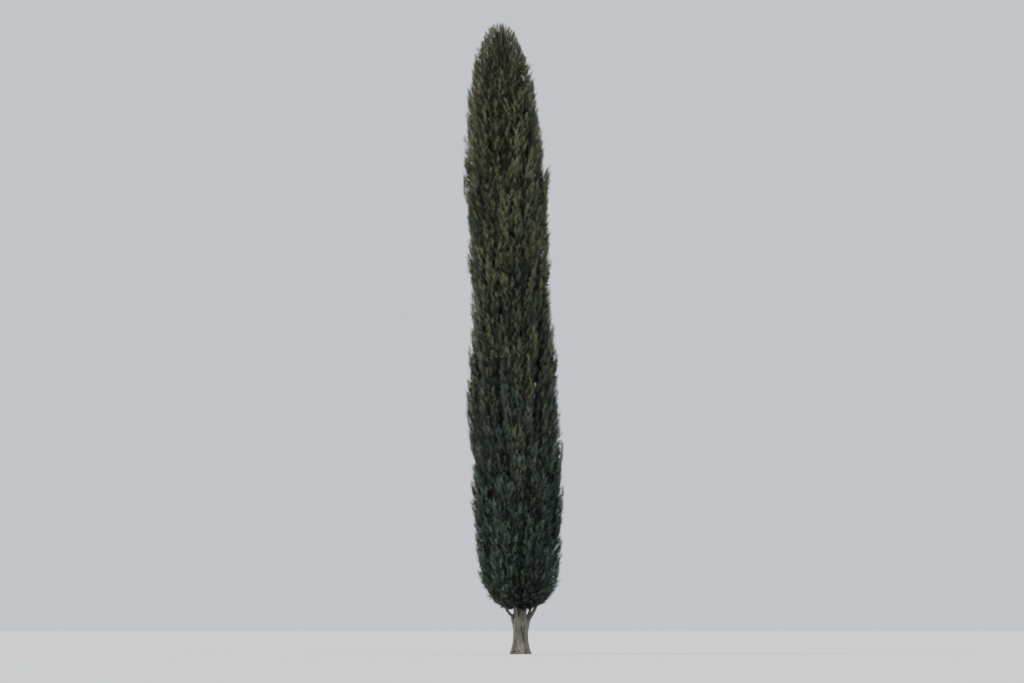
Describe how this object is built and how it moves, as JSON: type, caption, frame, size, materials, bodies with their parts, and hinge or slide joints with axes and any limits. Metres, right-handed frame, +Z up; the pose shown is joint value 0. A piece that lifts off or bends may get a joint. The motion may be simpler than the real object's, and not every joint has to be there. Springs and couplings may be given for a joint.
{
  "type": "pencil cypress tree",
  "caption": "Tall, narrow evergreen tree with a short bare trunk and a dense, pointed column of upright foliage plumes.",
  "frame": {"origin": "middle of the flat cut under the trunk, at ground level", "axes": "+Z up along the tree, +X to the right of the picture's view, +Y away from its camera; the tip leans towards -X"},
  "size_m": [1.8392, 1.7504, 12],
  "materials": {
    "trunk_bark": "grey-brown, fibrous, finely furrowed bark",
    "bough_bark": "brown, smoother bark",
    "foliage": "very dark green scale leaves in upright sprays, matte"
  },
  "bodies": {
    "root": {"foliage_lower_1": "foliage", "foliage_lower_2": "foliage", "foliage_lower_3": "foliage", "foliage_lower_4": "foliage", "foliage_lower_5": "foliage", "foliage_lower_6": "foliage", "foliage_lower_7": "foliage", "foliage_middle_1": "foliage", "foliage_middle_2": "foliage", "foliage_middle_3": "foliage", "foliage_middle_4": "foliage", "foliage_middle_5": "foliage", "foliage_middle_6": "foliage", "foliage_shoulder_1": "foliage", "foliage_shoulder_2": "foliage", "foliage_shoulder_3": "foliage", "foliage_shoulder_4": "foliage", "foliage_skirt_1": "foliage", "foliage_skirt_2": "foliage", "foliage_skirt_3": "foliage", "foliage_skirt_4": "foliage", "foliage_skirt_5": "foliage", "foliage_skirt_6": "foliage", "foliage_skirt_7": "foliage", "foliage_spire": "foliage", "foliage_upper_1": "foliage", "foliage_upper_2": "foliage", "foliage_upper_3": "foliage", "foliage_upper_4": "foliage", "foliage_upper_5": "foliage", "low_bough_1": "bough_bark", "low_bough_2": "bough_bark", "low_bough_3": "bough_bark", "low_bough_4": "bough_bark", "low_bough_5": "bough_bark", "trunk": "trunk_bark"}
  },
  "joints": []
}
